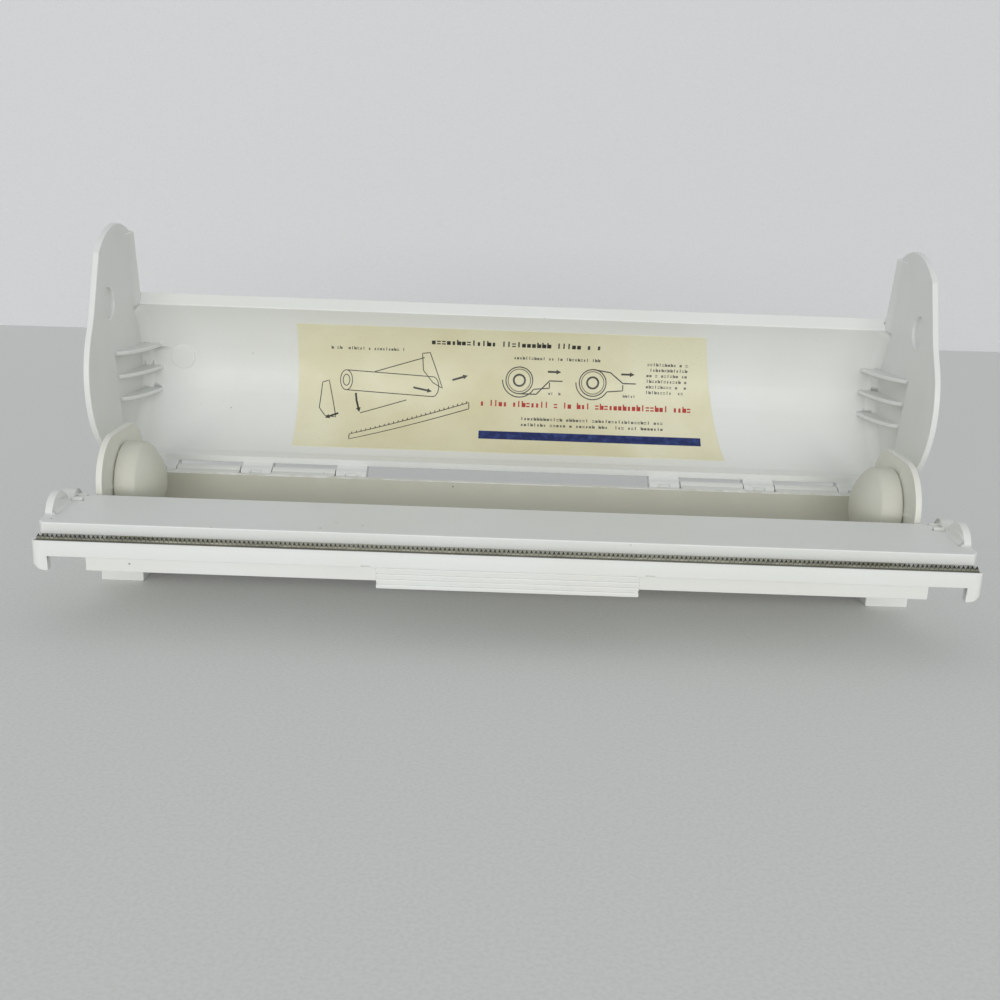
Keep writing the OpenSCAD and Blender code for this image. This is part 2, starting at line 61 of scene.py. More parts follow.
def makeCamera(setup):
    pitch, yaw, roll = (math.radians(setup[key]) for key in ("pitch", "yaw", "roll"))
    ahead = Vector((math.sin(yaw) * math.cos(pitch), math.cos(yaw) * math.cos(pitch), -math.sin(pitch)))
    right = Vector((math.cos(yaw), -math.sin(yaw), 0))
    up = right.cross(ahead)
    rolledRight = math.cos(roll) * right + math.sin(roll) * up
    rolledUp = math.cos(roll) * up - math.sin(roll) * right
    data = bpy.data.cameras.new("photoCamera")
    data.lens, data.sensor_width, data.clip_start = setup["lens"], setup["sensor"], 0.01
    camera = bpy.data.objects.new("photoCamera", data)
    axes = Matrix((rolledRight, rolledUp, -ahead)).transposed()
    camera.matrix_world = Matrix.Translation(setup["place"]) @ axes.to_4x4()
    scene.collection.objects.link(camera)
    scene.camera = camera


makeCamera(cameraSetup)
scene.view_settings.view_transform = "Standard"
print("camera set")


# helpers for node trees: a socket given as a value is linked, anything else is set
def put(tree, kind, inputs=None, **settings):
    node = tree.nodes.new(kind)
    for key, value in settings.items():
        setattr(node, key, value)
    for key, value in (inputs or {}).items():
        if isinstance(value, bpy.types.NodeSocket):
            tree.links.new(value, node.inputs[key])
        else:
            node.inputs[key].default_value = value
    return node


def linear(r, g, b):
    parts = [c / 255 for c in (r, g, b)]
    return tuple(c / 12.92 if c <= 0.04045 else ((c + 0.055) / 1.055) ** 2.4 for c in parts) + (1,)


def newMaterial(name):
    material = bpy.data.materials.new(name)
    material.use_nodes = True
    tree = material.node_tree
    return material, tree, tree.nodes["Principled BSDF"], put(tree, "ShaderNodeTexCoord").outputs["Object"]


def math2(tree, operation, a, b=0.0):
    return put(tree, "ShaderNodeMath", {0: a, 1: b}, operation=operation).outputs[0]


def ranged(tree, value, low, high, toLow=0.0, toHigh=1.0):
    inputs = {0: value, 1: low, 2: high, 3: toLow, 4: toHigh}
    return put(tree, "ShaderNodeMapRange", inputs).outputs[0]


def mixed(tree, factor, a, b):
    return put(tree, "ShaderNodeMix", {0: factor, 6: a, 7: b}, data_type="RGBA").outputs[2]


def noise(tree, where, scale, detail=2.0, stretch=None):
    if stretch:
        where = put(tree, "ShaderNodeMapping", {0: where, "Scale": stretch}).outputs[0]
    return put(tree, "ShaderNodeTexNoise", {"Vector": where, "Scale": scale, "Detail": detail}).outputs[0]


def linked(tree, source, node, name):
    tree.links.new(source, node.inputs[name])


# moulded plastic: tone drift, fine grain, scuffs, sparse specks, paler edges that are partly wear and partly a painted
# highlight, and a painted shade inside the trough
# the inside of the trough is painted darker and yellower: a painted shade where it lies in shadow
trayHollowShade = dict(axis=(-0.00725, 0.0422), radius=0.0376, soft=0.0004, end=0.1565, tone=(203, 203, 188))
plasticFinish = {
    "whitePlastic": dict(tone=(236, 238, 237), aged=(232, 234, 230), edge=(244, 245, 244), speck=(112, 88, 62),
                         rough=(0.36, 0.5), specks=0.93, grain=0.05),
    "trayPlastic": dict(tone=(235, 237, 235), aged=(231, 232, 227), edge=(243, 244, 242), speck=(104, 84, 60),
                        rough=(0.4, 0.54), specks=0.95, grain=0.06, hollowShade=trayHollowShade),
    "tabPlastic": dict(tone=(237, 238, 230), aged=(232, 232, 222), edge=(243, 244, 238), speck=(104, 84, 60),
                       rough=(0.4, 0.54), specks=0.96, grain=0.06),
    # the hubs' tone is darker than the other plastics: partly an ivory plastic, partly a painted shade for the hubs
    # deep in the trough
    "hubPlastic": dict(tone=(217, 218, 208), aged=(210, 210, 197), edge=(217, 218, 208), speck=(104, 84, 60),
                       rough=(0.4, 0.54), specks=0.96, grain=0.06),
}
# scales are per metre, bumpDepth is in m
plasticDetail = dict(
    driftScale=14, driftRange=(0.35, 0.68), wearScale=130, wearRange=(0.3, 0.6), paleEdgeShare=(0.25, 1),
    speckScale=210, speckEdge=(0.05, 0.11), speckShare=(0.15, 0.75),
    scuffScale=(38, 900, 900), scuffRange=(0.6, 0.72), scuffRough=0.09, roughScale=95, roughRange=(0.3, 0.7),
    fineScale=1500, coarseScale=240, coarseShare=1.6, bumpDepth=0.0004, specular=0.45,
)


# 1 inside the trough's radius and between the end walls, the mask of the painted shade
def insideHollow(tree, where, hollowShade):
    place = put(tree, "ShaderNodeSeparateXYZ", {0: where}).outputs
    across = math2(tree, "SUBTRACT", place[1], hollowShade["axis"][0])
    above = math2(tree, "SUBTRACT", place[2], hollowShade["axis"][1])
    flat = put(tree, "ShaderNodeCombineXYZ", {0: across, 1: above}).outputs[0]
    reach = put(tree, "ShaderNodeVectorMath", {0: flat}, operation="LENGTH").outputs["Value"]
    between = math2(tree, "LESS_THAN", math2(tree, "ABSOLUTE", place[0]), hollowShade["end"])
    inside = ranged(tree, reach, hollowShade["radius"], hollowShade["radius"] + hollowShade["soft"], 1, 0)
    return math2(tree, "MULTIPLY", inside, between)


def speckDots(tree, where, detail, rarity):
    cells = put(tree, "ShaderNodeTexVoronoi", {"Vector": where, "Scale": detail["speckScale"]})
    near = ranged(tree, cells.outputs["Distance"], *detail["speckEdge"], 1, 0)
    pick = put(tree, "ShaderNodeSeparateColor", {0: cells.outputs["Color"]})
    rare = math2(tree, "GREATER_THAN", pick.outputs[0], rarity)
    size = ranged(tree, pick.outputs[1], 0, 1, *detail["speckShare"])
    return math2(tree, "MULTIPLY", math2(tree, "MULTIPLY", near, rare), size)


def makePlastic(name, finish, detail):
    material, tree, shader, where = newMaterial(name)
    drift = ranged(tree, noise(tree, where, detail["driftScale"], 3), *detail["driftRange"])
    colour = mixed(tree, drift, linear(*finish["tone"]), linear(*finish["aged"]))
    # painted shade: the tray's colour darkened and yellowed inside the trough
    if "hollowShade" in finish:
        hollowShade = finish["hollowShade"]
        colour = mixed(tree, insideHollow(tree, where, hollowShade), colour, linear(*hollowShade["tone"]))
    # paler rounded edges: partly wear, partly a painted highlight along the edges
    paleEdgeMask = put(tree, "ShaderNodeAttribute", attribute_name="edgeWear").outputs["Fac"]
    patchy = ranged(tree, noise(tree, where, detail["wearScale"], 2), *detail["wearRange"], *detail["paleEdgeShare"])
    colour = mixed(tree, math2(tree, "MULTIPLY", paleEdgeMask, patchy), colour, linear(*finish["edge"]))
    colour = mixed(tree, speckDots(tree, where, detail, finish["specks"]), colour, linear(*finish["speck"]))
    scuff = ranged(tree, noise(tree, where, 1, 4, detail["scuffScale"]), *detail["scuffRange"])
    blotch = ranged(tree, noise(tree, where, detail["roughScale"], 3), *detail["roughRange"], *finish["rough"])
    rough = math2(tree, "ADD", blotch, math2(tree, "MULTIPLY", scuff, detail["scuffRough"]))
    coarse = math2(tree, "MULTIPLY", noise(tree, where, detail["coarseScale"], 2), detail["coarseShare"])
    grain = math2(tree, "ADD", noise(tree, where, detail["fineScale"], 2), coarse)
    bump = put(tree, "ShaderNodeBump",
               {"Strength": finish["grain"], "Distance": detail["bumpDepth"], "Height": grain})
    linked(tree, colour, shader, "Base Color")
    linked(tree, rough, shader, "Roughness")
    linked(tree, bump.outputs[0], shader, "Normal")
    shader.inputs["Specular IOR Level"].default_value = detail["specular"]
    return material


# steel with stain in streaks, browner below one height, and near-black above another: a painted shade for the dark gap
# under the guard bar's skirt
steelFinish = {
    "bladeSteel": dict(tone=(116, 116, 106), stain=(56, 42, 36), topShade=(40, 40, 37), rough=(0.32, 0.52),
                       brownLine=0.0337, topShadeLine=0.0352, reach=0.0006),
    "pinSteel": dict(tone=(176, 175, 170), stain=(120, 112, 100), topShade=(150, 149, 144), rough=(0.25, 0.4),
                     brownLine=-1, topShadeLine=1, reach=0.001),
}
steelDetail = dict(streakScale=(60, 500, 260), streakRange=(0.42, 0.7), streakShare=0.4,
                   grindScale=(300, 2600, 2600), grindRange=(0.3, 0.7), bump=0.12, bumpDepth=0.0001, metallic=0.85)


def makeSteel(name, finish, detail):
    material, tree, shader, where = newMaterial(name)
    streak = ranged(tree, noise(tree, where, 1, 4, detail["streakScale"]), *detail["streakRange"])
    height = put(tree, "ShaderNodeSeparateXYZ", {0: where}).outputs[2]
    low, high, reach = finish["brownLine"], finish["topShadeLine"], finish["reach"]
    # browner below the low line
    brownBand = ranged(tree, height, low, low + reach, 1, 0)
    stain = math2(tree, "MAXIMUM", math2(tree, "MULTIPLY", streak, detail["streakShare"]), brownBand)
    colour = mixed(tree, stain, linear(*finish["tone"]), linear(*finish["stain"]))
    # near-black painted shade above the top line
    colour = mixed(tree, ranged(tree, height, high, high + reach), colour, linear(*finish["topShade"]))
    grind = noise(tree, where, 1, 3, detail["grindScale"])
    bump = put(tree, "ShaderNodeBump",
               {"Strength": detail["bump"], "Distance": detail["bumpDepth"], "Height": grind})
    linked(tree, colour, shader, "Base Color")
    linked(tree, ranged(tree, grind, *detail["grindRange"], *finish["rough"]), shader, "Roughness")
    linked(tree, bump.outputs[0], shader, "Normal")
    shader.inputs["Metallic"].default_value = detail["metallic"]
    return material


# label stock: cream paper that has yellowed unevenly, with fine fibres
paperFinish = dict(tone=(236, 233, 206), aged=(222, 216, 180), fibre=(206, 198, 160),
                   driftScale=22, driftRange=(0.36, 0.66), fibreScale=(900, 2400, 2400), fibreRange=(0.58, 0.75),
                   fibreShare=0.4, bumpScale=900, bump=0.08, bumpDepth=0.0002,
                   roughScale=160, roughRange=(0.3, 0.7), rough=(0.42, 0.58))


def makePaper(name, finish):
    material, tree, shader, where = newMaterial(name)
    drift = ranged(tree, noise(tree, where, finish["driftScale"], 3), *finish["driftRange"])
    colour = mixed(tree, drift, linear(*finish["tone"]), linear(*finish["aged"]))
    fibres = noise(tree, where, 1, 5, finish["fibreScale"])
    fibre = ranged(tree, fibres, *finish["fibreRange"], 0, finish["fibreShare"])
    colour = mixed(tree, fibre, colour, linear(*finish["fibre"]))
    height = noise(tree, where, finish["bumpScale"], 3)
    bump = put(tree, "ShaderNodeBump",
               {"Strength": finish["bump"], "Distance": finish["bumpDepth"], "Height": height})
    rough = ranged(tree, noise(tree, where, finish["roughScale"], 2), *finish["roughRange"], *finish["rough"])
    linked(tree, colour, shader, "Base Color")
    linked(tree, rough, shader, "Roughness")
    linked(tree, bump.outputs[0], shader, "Normal")
    return material


# inks, paler where they have worn
inkFinish = {"inkDark": (44, 44, 40), "inkBlue": (14, 34, 96), "inkRed": (176, 44, 36), "inkGrey": (98, 98, 88)}
inkDetail = dict(fade=34, wearScale=420, wearRange=(0.45, 0.72),
                 roughScale=300, roughRange=(0.3, 0.7), rough=(0.36, 0.5))


def makeInk(name, tone, detail):
    material, tree, shader, where = newMaterial(name)
    faded = tuple(min(255, c + detail["fade"]) for c in tone)
    wear = ranged(tree, noise(tree, where, detail["wearScale"], 4), *detail["wearRange"])
    rough = ranged(tree, noise(tree, where, detail["roughScale"], 2), *detail["roughRange"], *detail["rough"])
    linked(tree, mixed(tree, wear, linear(*tone), linear(*faded)), shader, "Base Color")
    linked(tree, rough, shader, "Roughness")
    return material


materials = {name: makePlastic(name, finish, plasticDetail) for name, finish in plasticFinish.items()}
materials.update({name: makeSteel(name, finish, steelDetail) for name, finish in steelFinish.items()})
materials["labelPaper"] = makePaper("labelPaper", paperFinish)
materials.update({name: makeInk(name, tone, inkDetail) for name, tone in inkFinish.items()})
print("materials made:", len(materials))


# floor, wall and light, in m
stageSetup = dict(
    wall=((-0.5233, 0.7396), (0.5455, 0.8130)), halfWidth=1.7, front=-1.2, wallHeight=0.9,
    floorTone=(233, 234, 233), floorSpeck=(226, 227, 225), wallTone=(240, 241, 243), wallSpeck=(235, 236, 238),
    grainScale=900, grainRange=(0.4, 0.66), rough=0.62,
)
lightSetup = dict(ambient=0.5, ambientTone=(252, 254, 255), power=36.5, size=(2.5, 1), lampTone=(255, 254, 250),
                  place=(-0.1, -2.9, 0.62), aim=(0, 0.02, 0.06))


def makeSurround(name, tone, speck, setup):
    material, tree, shader, where = newMaterial(name)
    grains = ranged(tree, noise(tree, where, setup["grainScale"], 3), *setup["grainRange"])
    linked(tree, mixed(tree, grains, linear(*tone), linear(*speck)), shader, "Base Color")
    shader.inputs["Roughness"].default_value = setup["rough"]
    return material


def makePanel(name, corners, material):
    mesh = bpy.data.meshes.new(name)
    mesh.from_pydata(corners, [], [(0, 1, 2, 3)])
    mesh.materials.append(material)
    panel = bpy.data.objects.new(name, mesh)
    scene.collection.objects.link(panel)


def makeStage(setup, light):
    (x0, y0), (x1, y1) = setup["wall"]
    half, front, top = setup["halfWidth"], setup["front"], setup["wallHeight"]
    slope = (y1 - y0) / (x1 - x0)
    left, right = y0 + slope * (-half - x0), y0 + slope * (half - x0)
    floor = makeSurround("paleFloor", setup["floorTone"], setup["floorSpeck"], setup)
    wall = makeSurround("paleWall", setup["wallTone"], setup["wallSpeck"], setup)
    makePanel("floor", [(-half, front, 0), (half, front, 0), (half, right, 0), (-half, left, 0)], floor)
    makePanel("wall", [(-half, left, 0), (half, right, 0), (half, right, top), (-half, left, top)], wall)
    world = bpy.data.worlds.new("softRoom")
    world.use_nodes = True
    sky = world.node_tree.nodes["Background"]
    sky.inputs["Color"].default_value = linear(*light["ambientTone"])
    sky.inputs["Strength"].default_value = light["ambient"]
    scene.world = world
    data = bpy.data.lights.new("frontLamp", "AREA")
    data.shape, data.energy = "RECTANGLE", light["power"]
    data.size, data.size_y = light["size"]
    data.color = linear(*light["lampTone"])[:3]
    lamp = bpy.data.objects.new("frontLamp", data)
    lamp.location = light["place"]
    aim = Vector(light["aim"]) - Vector(light["place"])
    lamp.rotation_euler = aim.to_track_quat("-Z", "Y").to_euler()
    lamp.visible_camera = False
    scene.collection.objects.link(lamp)


makeStage(stageSetup, lightSetup)
print("stage and light set")


# moulded pieces: the solid's own shape with its corners rounded, radius in mm
# plain is a box at each end, in m, whose edges stay sharp
mouldings = {
    "lid": dict(piece="lid_moulding", body="lid", finish="whitePlastic", slot="white_plastic", corner=0.45,
                plain=((0.16, 0.054, 0.095), (0.172, 0.07, 0.108))),
    "base_tray": dict(piece="tray_moulding", body="base", finish="trayPlastic", slot="ivory_plastic", corner=0.35,
                      plain=((0.158, -0.048, 0.034), (0.171, -0.03, 0.047))),
    "front_rail": dict(piece="rail_moulding", body="base", finish="whitePlastic", slot="white_plastic", corner=0.3),
    "guard_bar": dict(piece="bar_moulding", body="guard_bar", finish="whitePlastic", slot="white_plastic", corner=0.4),
}
# pieces with one at each end, where {} is the side
pairedMouldings = {
    "{}_roll_tab": dict(piece="{}_tab_moulding", body="{}_tab", finish="tabPlastic",
                        slot="ivory_plastic", corner=0.35),
    "{}_roll_hub": dict(piece="{}_hub_moulding", body="{}_hub", finish="hubPlastic",
                        slot="ivory_plastic", corner=1.2),
    "{}_skid_foot": dict(piece="{}_foot_moulding", body="base", finish="whitePlastic",
                         slot="white_plastic", corner=0.6),
}
sides = ("left", "right")
for node, setup in pairedMouldings.items():
    for side in sides:
        named = {key: setup[key].format(side) for key in ("piece", "body")}
        mouldings[node.format(side)] = {**setup, **named}
# weld and shortEdge in mm, flat, sharp and smooth in degrees, stray and clear in corner radii
roundingRule = dict(weld=0.03, flat=0.4, sharp=34, steps=2, smooth=40, tries=3, stray=0.8, clear=1.5, shortEdge=12,
                    tinyFace=1e-11, opposed=-0.5)


def plainMesh(piece):
    bpy.context.view_layer.update()
    seen = piece.evaluated_get(bpy.context.evaluated_depsgraph_get())
    mesh = bpy.data.meshes.new_from_object(seen)
    piece.modifiers.clear()
    piece.data = mesh
    mesh.name = piece.name
    return mesh


def newPiece(name, mesh):
    piece = bpy.data.objects.new(name, mesh)
    scene.collection.objects.link(piece)
    return piece


def finishPiece(piece, body, nodes=()):
    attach(piece, body)
    if nodes:
        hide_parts(*nodes)


# places where a rounded copy strays from the solid or folds over
def foldedSpots(mesh, surface, corner):
    spots = [v.co.copy() for v in mesh.vertices if surface.find_nearest(v.co)[3] > roundingRule["stray"] * corner]
    for face in mesh.polygons:
        if face.area > roundingRule["tinyFace"] and surface.find_nearest(face.center)[1].dot(face.normal) < 0:
            spots.append(face.center.copy())
    return spots


def edgeGap(edge, spot):
    start, run = edge.verts[0].co, edge.verts[1].co - edge.verts[0].co
    share = min(1, max(0, (spot - start).dot(run) / run.length_squared))
    return (start + run * share - spot).length


def middle(edge):
    return (edge.verts[0].co + edge.verts[1].co) / 2


def inBox(spot, box):
    return all(low <= c <= high for low, c, high in zip(box[0], (abs(spot.x), spot.y, spot.z), box[1]))


# pairs of sharp edges on the two sides of a strip that is too narrow for both to be rounded
def narrowEdges(solid, sharp, corner):
    found = set()
    for face in solid.faces:
        sides = [loop for loop in face.loops if loop.edge in sharp]
        runs = [(loop.link_loop_next.vert.co - loop.vert.co).normalized() for loop in sides]
        for i, loop in enumerate(sides):
            for k in range(i + 1, len(sides)):
                if runs[i].dot(runs[k]) < roundingRule["opposed"]:
                    edge, other = loop.edge, sides[k].edge
                    if min(edgeGap(edge, middle(other)), edgeGap(other, middle(edge))) < 2 * corner:
                        found |= {edge, other}
    return found


# rounds the sharp edges, and leaves short ones sharp where the rounding folds over
def roundCorners(piece, solid, corner, plain):
    surface = BVHTree.FromBMesh(solid)
    flat = math.radians(roundingRule["flat"])
    bmesh.ops.dissolve_limit(solid, angle_limit=flat, verts=solid.verts, edges=solid.edges)
    bmesh.ops.connect_verts_concave(solid, faces=solid.faces)
    weight = solid.edges.layers.float.new("bevel_weight_edge")
    limit = math.radians(roundingRule["sharp"])
    sharp = {edge for edge in solid.edges if edge.is_convex and edge.calc_face_angle(0) > limit}
    for edge in sharp - narrowEdges(solid, sharp, corner):
        edge[weight] = float(not (plain and inBox(middle(edge), plain)))
    bevel = piece.modifiers.new("corners", "BEVEL")
    bevel.width, bevel.segments, bevel.limit_method = corner, roundingRule["steps"], "WEIGHT"
    bevel.use_clamp_overlap, bevel.loop_slide, bevel.material = False, False, 1
    for _ in range(roundingRule["tries"]):
        solid.to_mesh(piece.data)
        bpy.context.view_layer.update()
        rounded = bpy.data.meshes.new_from_object(piece.evaluated_get(bpy.context.evaluated_depsgraph_get()))
        spots = foldedSpots(rounded, surface, corner)
        bpy.data.meshes.remove(rounded)
        for edge in sharp:
            if edge.calc_length() < roundingRule["shortEdge"] * mm:
                if any(edgeGap(edge, spot) < roundingRule["clear"] * corner for spot in spots):
                    edge[weight] = 0
    solid.to_mesh(piece.data)
    return plainMesh(piece)


def shadeByAngle(mesh):
    mesh.shade_smooth()
    mesh.set_sharp_from_angle(angle=math.radians(roundingRule["smooth"]))


# a welded copy of a solid, with all its faces in the first material slot
def weldedCopy(node, finish, slots=1):
    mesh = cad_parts[node].data.copy()
    mesh.materials.clear()
    for _ in range(slots):
        mesh.materials.append(materials[finish])
    solid = bmesh.new()
    solid.from_mesh(mesh)
    bmesh.ops.remove_doubles(solid, verts=solid.verts, dist=roundingRule["weld"] * mm)
    for face in solid.faces:
        face.material_index = 0
    return mesh, solid


def mould(node, setup):
    mesh, solid = weldedCopy(node, setup["finish"], 2)  # the second slot marks the rounded edges
    piece = newPiece(setup["piece"], mesh)
    mesh = roundCorners(piece, solid, setup["corner"] * mm, setup.get("plain"))
    solid.free()
    shadeByAngle(mesh)
    piece.modifiers.new("evenShading", "WEIGHTED_NORMAL").keep_sharp = True
    mesh = plainMesh(piece)
    # the rounded faces carry the pale edge mask, partly wear and partly a painted highlight
    wear = mesh.attributes.new("edgeWear", "FLOAT", "FACE")
    wear.data.foreach_set("value", [float(face.material_index == 1) for face in mesh.polygons])
    mesh.polygons.foreach_set("material_index", [0] * len(mesh.polygons))
    mesh.materials.pop(index=1)
    finishPiece(piece, setup["body"], [node])
    print("moulded", setup["piece"], len(mesh.polygons), "faces")


for node, setup in mouldings.items():
    mould(node, setup)


# geometry node trees: named inputs, set by identifier before the first look at the object
def newTree(name, inputs):
    tree = bpy.data.node_groups.new(name, "GeometryNodeTree")
    tree.interface.new_socket("Geometry", in_out="INPUT", socket_type="NodeSocketGeometry")
    for label, kind in inputs.items():
        tree.interface.new_socket(label, in_out="INPUT", socket_type="NodeSocket" + kind)
    tree.interface.new_socket("Geometry", in_out="OUTPUT", socket_type="NodeSocketGeometry")
    return tree, tree.nodes.new("NodeGroupInput").outputs


def endTree(tree, geometry, material):
    real = put(tree, "GeometryNodeRealizeInstances", {0: geometry})
    painted = put(tree, "GeometryNodeSetMaterial", {0: real.outputs[0], "Material": material})
    put(tree, "NodeGroupOutput", {0: painted.outputs[0]})


def runTree(piece, tree, values):
    modifier = piece.modifiers.new(tree.name, "NODES")
    modifier.node_group = tree
    for item in tree.interface.items_tree:
        if item.in_out == "INPUT" and item.name in values:
            modifier[item.identifier] = values[item.name]
    return plainMesh(piece)


# serrated blade: one tooth with its length of plate, repeated along the rail, in mm
bladeSetup = dict(toothHeight=1.6, pitch=1.6, thick=0.6, tipWidth=0.16, tipThick=0.14, weld=0.01)


def toothUnit(setup, plateHeight):
    half, rise = setup["pitch"] / 2 * mm, setup["toothHeight"] * mm
    tip, edge, thick = setup["tipWidth"] / 2 * mm, setup["tipThick"] * mm, setup["thick"] * mm
    corners = [(-half, 0, 0), (half, 0, 0), (half, thick, 0), (-half, thick, 0)]
    corners += [(x, y, plateHeight) for x, y, _ in corners]
    top = plateHeight + rise
    corners += [(-tip, thick - edge, top), (tip, thick - edge, top), (tip, thick, top), (-tip, thick, top)]
    plate = [(0, 3, 2, 1), (0, 1, 5, 4), (2, 3, 7, 6)]
    tooth = [(4, 5, 9, 8), (6, 7, 11, 10), (5, 6, 10, 9), (7, 4, 8, 11), (8, 9, 10, 11)]
    mesh = bpy.data.meshes.new("toothUnit")
    mesh.from_pydata(corners, [], plate + tooth)
    return mesh


def makeBlade(setup):
    low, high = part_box("cutter_blade")
    pitch = setup["pitch"] * mm
    count = round((high.x - low.x) / pitch)
    pitch = (high.x - low.x) / count
    plate = high.z - low.z - setup["toothHeight"] * mm
    unit = newPiece("toothUnit", toothUnit({**setup, "pitch": pitch / mm}, plate))
    x0, x1, y0, y1, z0, z1 = low.x, high.x, low.y, high.y, low.z, low.z + plate
    ends = bpy.data.meshes.new("cutter_blade_steel")
    corners = [(x, y, z) for x in (x0, x1) for y, z in ((y0, z0), (y1, z0), (y1, z1), (y0, z1))]
    ends.from_pydata(corners, [], [(3, 2, 1, 0), (4, 5, 6, 7)])
    tree, given = newTree("serratedBlade", {"Tooth": "Object", "Count": "Int", "Pitch": "Float", "Start": "Vector",
                                            "Weld": "Float", "Steel": "Material"})
    step = put(tree, "ShaderNodeCombineXYZ", {0: given["Pitch"]}).outputs[0]
    line = put(tree, "GeometryNodeMeshLine",
               {"Count": given["Count"], "Start Location": given["Start"], "Offset": step}, mode="OFFSET")
    tooth = put(tree, "GeometryNodeObjectInfo", {"Object": given["Tooth"]}).outputs["Geometry"]
    row = put(tree, "GeometryNodeInstanceOnPoints", {"Points": line.outputs[0], "Instance": tooth}).outputs[0]
    real = put(tree, "GeometryNodeRealizeInstances", {0: row}).outputs[0]
    joined = put(tree, "GeometryNodeJoinGeometry", {0: real})
    tree.links.new(given["Geometry"], joined.inputs[0])
    welded = put(tree, "GeometryNodeMergeByDistance", {0: joined.outputs[0], "Distance": given["Weld"]}).outputs[0]
    endTree(tree, welded, given["Steel"])
    blade = newPiece("cutter_blade_steel", ends)
    runTree(blade, tree, {"Tooth": unit, "Count": count, "Pitch": pitch, "Start": (x0 + pitch / 2, y0, z0),
                          "Weld": setup["weld"] * mm, "Steel": materials["bladeSteel"]})
    bpy.data.objects.remove(unit)
    finishPiece(blade, "base", ["cutter_blade"])
    print("blade made:", count, "teeth")


makeBlade(bladeSetup)


# hinge pins keep their solids
for side in sides:
    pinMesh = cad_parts[side + "_hinge_pin"].data
    pinMesh.materials.clear()
    pinMesh.materials.append(materials["pinSteel"])


# leaf springs: the solids' shape, welded and smooth-shaded
springSetup = dict(piece="{}_spring_leaf", finish="pinSteel", slot="pin_steel", keep=0.74)


def makeSpring(side, setup):
    node = side + "_bar_spring"
    mesh, solid = weldedCopy(node, setup["finish"])
    solid.to_mesh(mesh)
    solid.free()
    shadeByAngle(mesh)
    spring = newPiece(setup["piece"].format(side), mesh)
    finishPiece(spring, "base", [node])
    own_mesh(spring)
    print("spring made:", spring.name)


for side in sides:
    makeSpring(side, springSetup)


# label: a sheet and its print, drawn flat in mm (along the lid, then up towards the rim) and bent onto the shell
labelSetup = dict(
    axis=(34.4505, 76.7), radius=37.65, middle=-16.93, thick=0.3, halfLength=98, halfHeight=31, slant=5,
    columns=40, rows=44, inkLift=0.02, inkStep=1.2,
)


def bendTree():
    tree, given = newTree("bendOnShell", {"Radius": "Float", "Middle": "Float", "Axis": "Vector", "Paint": "Material"})
    flat = put(tree, "ShaderNodeSeparateXYZ", {0: put(tree, "GeometryNodeInputPosition").outputs[0]}).outputs
    angle = math2(tree, "ADD", given["Middle"], math2(tree, "DIVIDE", flat[1], given["Radius"]))
    reach = math2(tree, "SUBTRACT", given["Radius"], flat[2])
    centre = put(tree, "ShaderNodeSeparateXYZ", {0: given["Axis"]}).outputs
    y = math2(tree, "ADD", centre[1], math2(tree, "MULTIPLY", reach, math2(tree, "COSINE", angle)))
    z = math2(tree, "ADD", centre[2], math2(tree, "MULTIPLY", reach, math2(tree, "SINE", angle)))
    bent = put(tree, "ShaderNodeCombineXYZ", {0: flat[0], 1: y, 2: z}).outputs[0]
    placed = put(tree, "GeometryNodeSetPosition", {"Geometry": given["Geometry"], "Position": bent}).outputs[0]
    endTree(tree, placed, given["Paint"])
    return tree


def bend(name, flatMesh, paint, tree, setup):
    piece = newPiece(name, flatMesh)
    runTree(piece, tree, {"Radius": setup["radius"] * mm, "Middle": math.radians(setup["middle"]),
                          "Axis": (0, setup["axis"][0] * mm, setup["axis"][1] * mm), "Paint": materials[paint]})
    shadeByAngle(piece.data)
    return piece


def rightEdge(setup, up):
    return setup["halfLength"] - setup["slant"] * (1 + up / setup["halfHeight"])


def labelSheet(setup):
    columns, rows, high = setup["columns"], setup["rows"], setup["halfHeight"]
    corners, faces = [], []
    for lift in (0, -setup["thick"]):
        for j in range(rows + 1):
            up = -high + 2 * high * j / rows
            right = rightEdge(setup, up)
            for i in range(columns + 1):
                along = -setup["halfLength"] + (right + setup["halfLength"]) * i / columns
                corners.append((along * mm, up * mm, lift * mm))
    wide, layer = columns + 1, (columns + 1) * (rows + 1)
    for j in range(rows):
        for i in range(columns):
            a = j * wide + i
            quad = (a, a + 1, a + wide + 1, a + wide)
            faces += [quad, tuple(v + layer for v in reversed(quad))]
    rim = list(range(wide)) + [j * wide + columns for j in range(1, rows + 1)]
    rim += [rows * wide + i for i in range(columns - 1, -1, -1)] + [j * wide for j in range(rows - 1, 0, -1)]
    for a, b in zip(rim, rim[1:] + rim[:1]):
        faces.append((b, a, a + layer, b + layer))
    mesh = bpy.data.meshes.new("labelSheet")
    mesh.from_pydata(corners, [], faces)
    return mesh


shellBend = bendTree()
labelPiece = bend("instruction_label_sheet", labelSheet(labelSetup), "labelPaper", shellBend, labelSetup)
finishPiece(labelPiece, "lid", ["instruction_label"])
print("label sheet bent")


# print on the label: strokes, bars, rings and arrows, drawn flat in mm
strokeRule = dict(joined=1e-6, ringStep=12, ringParts=8, headShare=0.5)


